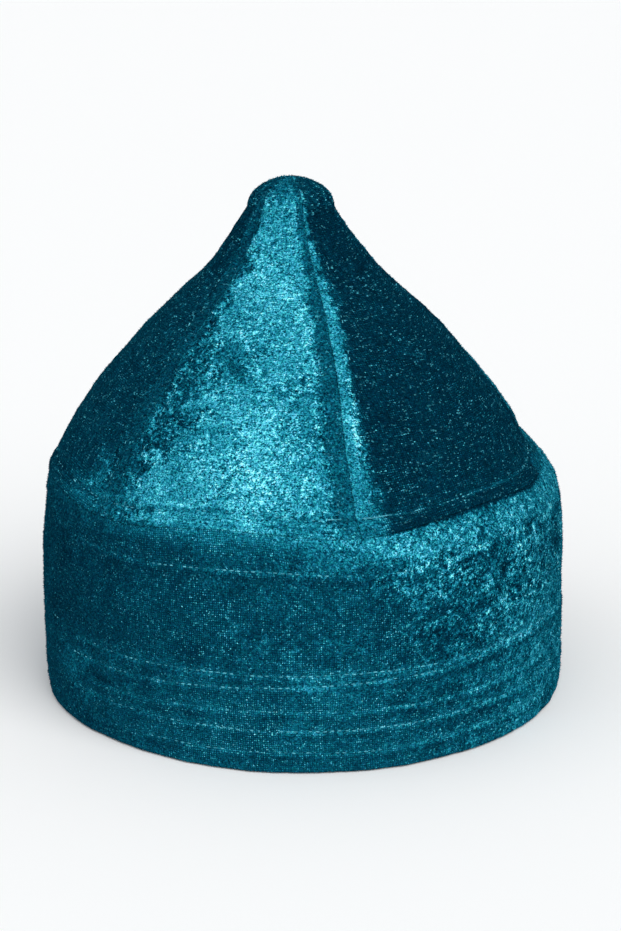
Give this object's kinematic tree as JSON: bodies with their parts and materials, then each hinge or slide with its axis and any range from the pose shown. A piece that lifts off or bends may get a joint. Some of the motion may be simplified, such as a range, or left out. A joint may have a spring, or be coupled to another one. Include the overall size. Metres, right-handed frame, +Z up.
{
  "type": "skullcap",
  "caption": "Tall pointed velvet skullcap: an upright stitched band, and pointed gores that meet in a blunt nub.",
  "frame": {"origin": "centre of the band's foot, on the surface that the cap rests on", "axes": "+Z up to the nub, -Y to the front, +X to the right seen from the front"},
  "size_m": [0.1909, 0.1954, 0.1837],
  "materials": {
    "band_velvet": "crushed teal velvet, stitched in rows",
    "crown_velvet": "crushed teal velvet with a strong nap"
  },
  "bodies": {
    "root": {"band": "band_velvet", "gore_1": "crown_velvet", "gore_2": "crown_velvet", "gore_3": "crown_velvet", "gore_4": "crown_velvet", "gore_5": "crown_velvet", "gore_6": "crown_velvet"}
  },
  "joints": []
}
